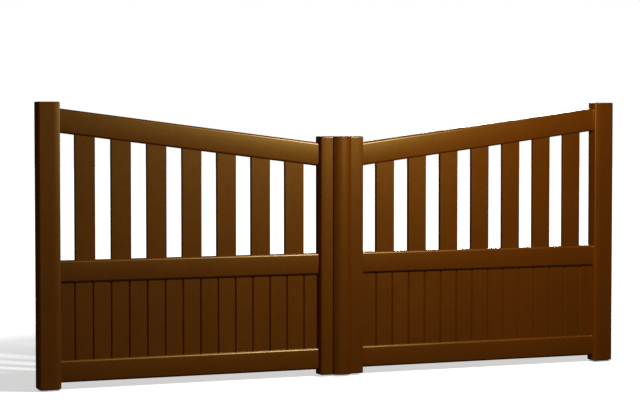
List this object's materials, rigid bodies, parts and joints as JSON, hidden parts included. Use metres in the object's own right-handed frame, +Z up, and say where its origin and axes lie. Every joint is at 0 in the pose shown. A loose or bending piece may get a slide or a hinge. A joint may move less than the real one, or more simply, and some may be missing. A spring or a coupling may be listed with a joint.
{
  "type": "double-leaf driveway swing gate",
  "caption": "Brown aluminium driveway gate with two swinging leaves, upright pickets above a tongue-and-groove boarded base, and a concave sloping top line.",
  "frame": {"origin": "on the left leaf's hinge axis, at the underside of the left floor pivot's plate, which is ground level", "axes": "+X along the closed gate from the left hinge to the right hinge as seen from the street, +Y into the property, the way both leaves open, +Z up"},
  "size_m": [3.5, 0.119, 1.5372],
  "materials": {
    "frame_coat": "satin",
    "infill_coat": "satin",
    "end_caps": "satin",
    "galvanised_steel": "matte"
  },
  "bodies": {
    "floor_pivots": {"left_floor_pivot": "galvanised_steel", "right_floor_pivot": "galvanised_steel"},
    "left_leaf": {"left_hinge_stile": "frame_coat", "left_hinge_stile_cap": "end_caps", "left_hinge_stile_foot": "end_caps", "left_meeting_stile": "frame_coat", "left_meeting_stile_cap": "end_caps", "left_meeting_stile_foot": "end_caps", "left_top_rail": "frame_coat", "left_middle_rail": "frame_coat", "left_bottom_rail": "frame_coat", "left_boards": "infill_coat", "left_picket_1": "infill_coat", "left_picket_2": "infill_coat", "left_picket_3": "infill_coat", "left_picket_4": "infill_coat", "left_picket_5": "infill_coat", "left_picket_6": "infill_coat", "left_picket_7": "infill_coat"},
    "right_leaf": {"right_hinge_stile": "frame_coat", "right_hinge_stile_cap": "end_caps", "right_hinge_stile_foot": "end_caps", "right_meeting_stile": "frame_coat", "right_meeting_stile_cap": "end_caps", "right_meeting_stile_foot": "end_caps", "right_top_rail": "frame_coat", "right_middle_rail": "frame_coat", "right_bottom_rail": "frame_coat", "right_boards": "infill_coat", "right_picket_1": "infill_coat", "right_picket_2": "infill_coat", "right_picket_3": "infill_coat", "right_picket_4": "infill_coat", "right_picket_5": "infill_coat", "right_picket_6": "infill_coat", "right_picket_7": "infill_coat", "cover_strip": "frame_coat", "cover_strip_cap": "end_caps", "cover_strip_foot": "end_caps"}
  },
  "joints": [
    {"name": "left_hinge", "type": "hinge", "parent": "floor_pivots", "child": "left_leaf", "pos_m": [0, 0, 0.0092], "axis": [0, 0, 1], "range_deg": [0, 90]},
    {"name": "right_hinge", "type": "hinge", "parent": "floor_pivots", "child": "right_leaf", "pos_m": [3.38, 0, 0.0092], "axis": [0, 0, -1], "range_deg": [0, 90]}
  ]
}
